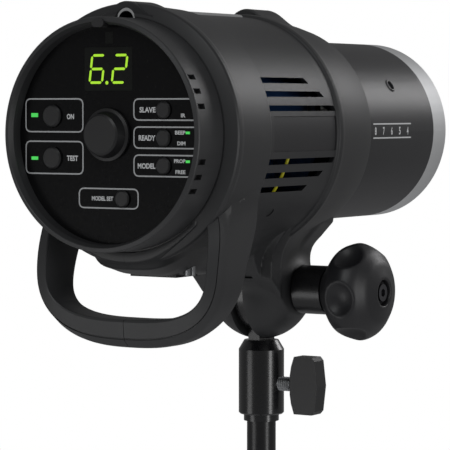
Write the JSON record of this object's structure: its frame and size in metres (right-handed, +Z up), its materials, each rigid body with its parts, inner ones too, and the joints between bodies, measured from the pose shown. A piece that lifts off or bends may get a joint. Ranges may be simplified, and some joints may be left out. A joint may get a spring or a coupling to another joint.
{
  "type": "monolight strobe",
  "caption": "Compact studio flash head with a round control panel at the back, carrying handle, tilt hub with lobed knob and a stand socket with wing screw.",
  "frame": {"origin": "centre of the stand socket's mouth, where the stand's spigot enters", "axes": "+Z up along the socket, +Y the direction the light fires, +X the side of the tilt knob and wing screw"},
  "size_m": [0.142, 0.2798, 0.2237],
  "materials": {
    "casing": "fine-grained moulded plastic",
    "bezel": "fine-grained moulded plastic",
    "panel": "gloss black",
    "window": "smoked gloss",
    "display": "dark, behind the window",
    "dial": "satin",
    "button": "satin",
    "lamp_green": "lit green",
    "circuit_board": "solder mask",
    "inner_plastic": "matte",
    "tube_steel": "polished",
    "plate": "satin",
    "barrel": "fine satin black",
    "ring_metal": "satin turned",
    "front_glass": "frosted",
    "reflector": "bright dimpled",
    "quartz": "clear",
    "lamp_glass": "frosted",
    "ceramic": "unglazed",
    "capacitor_sleeve": "shrink sleeve",
    "steel": "plain",
    "copper_winding": "enamelled copper",
    "inlet": "gloss black",
    "spacer": "semi-gloss black",
    "knob": "satin black",
    "screw": "black oxide",
    "friction": "fibre",
    "socket_paint": "gloss black",
    "brass_pad": "plain",
    "wing": "matte black"
  },
  "bodies": {
    "stand_adapter": {"socket_body": "socket_paint", "socket_liner": "socket_paint", "friction_washers": "friction"},
    "head": {"casing_left": "casing", "casing_right": "casing", "handle_left": "casing", "handle_right": "casing", "rear_bezel": "bezel", "control_panel": "panel", "display_window": "window", "display_module": "display", "dial_encoder": "inner_plastic", "indicator_lamps": "lamp_green", "infrared_window": "window", "sensor_dome": "button", "control_board": "circuit_board", "key_switches": "inner_plastic", "umbrella_tube": "tube_steel", "side_plate_left": "plate", "side_plate_right": "plate", "front_barrel": "barrel", "front_ring": "ring_metal", "front_glass": "front_glass", "reflector_bowl": "reflector", "flash_tube": "quartz", "modelling_lamp": "lamp_glass", "lamp_socket": "ceramic", "heat_shield": "reflector", "capacitor_bank": "capacitor_sleeve", "capacitor_clamp": "steel", "transformer": "copper_winding", "power_board": "circuit_board", "fan_frame": "inner_plastic", "mains_inlet": "inlet", "fuse_drawer": "inlet", "sync_socket": "steel", "tilt_nut": "steel", "casing_screws": "screw", "barrel_screws": "screw"},
    "knob_carriage": {"knob_spacer": "spacer"},
    "tilt_knob": {"tilt_knob": "knob", "tilt_stud": "steel", "knob_end_screw": "screw"},
    "energy_dial": {"energy_dial": "dial", "dial_shaft": "steel"},
    "on_button": {"on_button": "button"},
    "test_button": {"test_button": "button"},
    "slave_button": {"slave_button": "button"},
    "ready_button": {"ready_button": "button"},
    "model_button": {"model_button": "button"},
    "model_set_button": {"model_set_button": "button"},
    "fan_rotor": {"fan_rotor": "inner_plastic"},
    "pressure_pad": {"pressure_pad": "brass_pad"},
    "wing_screw": {"lock_stud": "steel", "wing_knob": "wing"}
  },
  "joints": [
    {"name": "head_tilt", "type": "hinge", "parent": "stand_adapter", "child": "head", "pos_m": [0, 0, 0.0728], "axis": [1, 0, 0], "range_deg": [-80, 45]},
    {"name": "carriage_slide", "type": "slide", "parent": "head", "child": "knob_carriage", "axis": [1, 0, 0], "range_m": [0, 0.003]},
    {"name": "tilt_knob_turn", "type": "hinge", "parent": "knob_carriage", "child": "tilt_knob", "pos_m": [0.05, 0, 0.0728], "axis": [1, 0, 0], "range_deg": [0, 722]},
    {"name": "pad_slide", "type": "slide", "parent": "stand_adapter", "child": "pressure_pad", "axis": [1, 0, 0], "range_m": [-0.00093, 0.0025]},
    {"name": "wing_screw_turn", "type": "hinge", "parent": "pressure_pad", "child": "wing_screw", "pos_m": [0.02, 0, 0.0207], "axis": [1, 0, 0], "range_deg": [-270, 722]},
    {"name": "energy_dial_turn", "type": "hinge", "parent": "head", "child": "energy_dial", "pos_m": [0, -0.155, 0.1575], "axis": [0, 1, 0], "continuous": true},
    {"name": "fan_turn", "type": "hinge", "parent": "head", "child": "fan_rotor", "pos_m": [0, -0.002, 0.1575], "axis": [0, 1, 0], "continuous": true},
    {"name": "on_press", "type": "slide", "parent": "head", "child": "on_button", "axis": [0, 1, 0], "range_m": [0, 0.001], "stiffness_N_per_m": 600, "springref_m": -0.0005},
    {"name": "test_press", "type": "slide", "parent": "head", "child": "test_button", "axis": [0, 1, 0], "range_m": [0, 0.001], "stiffness_N_per_m": 600, "springref_m": -0.0005},
    {"name": "slave_press", "type": "slide", "parent": "head", "child": "slave_button", "axis": [0, 1, 0], "range_m": [0, 0.001], "stiffness_N_per_m": 600, "springref_m": -0.0005},
    {"name": "ready_press", "type": "slide", "parent": "head", "child": "ready_button", "axis": [0, 1, 0], "range_m": [0, 0.001], "stiffness_N_per_m": 600, "springref_m": -0.0005},
    {"name": "model_press", "type": "slide", "parent": "head", "child": "model_button", "axis": [0, 1, 0], "range_m": [0, 0.001], "stiffness_N_per_m": 600, "springref_m": -0.0005},
    {"name": "model_set_press", "type": "slide", "parent": "head", "child": "model_set_button", "axis": [0, 1, 0], "range_m": [0, 0.001], "stiffness_N_per_m": 600, "springref_m": -0.0005}
  ],
  "couplings": [
    {"joint": "tilt_knob_turn", "follows": "carriage_slide", "rad_per_m": 4188.8},
    {"joint": "wing_screw_turn", "follows": "pad_slide", "rad_per_m": 5026.5}
  ]
}
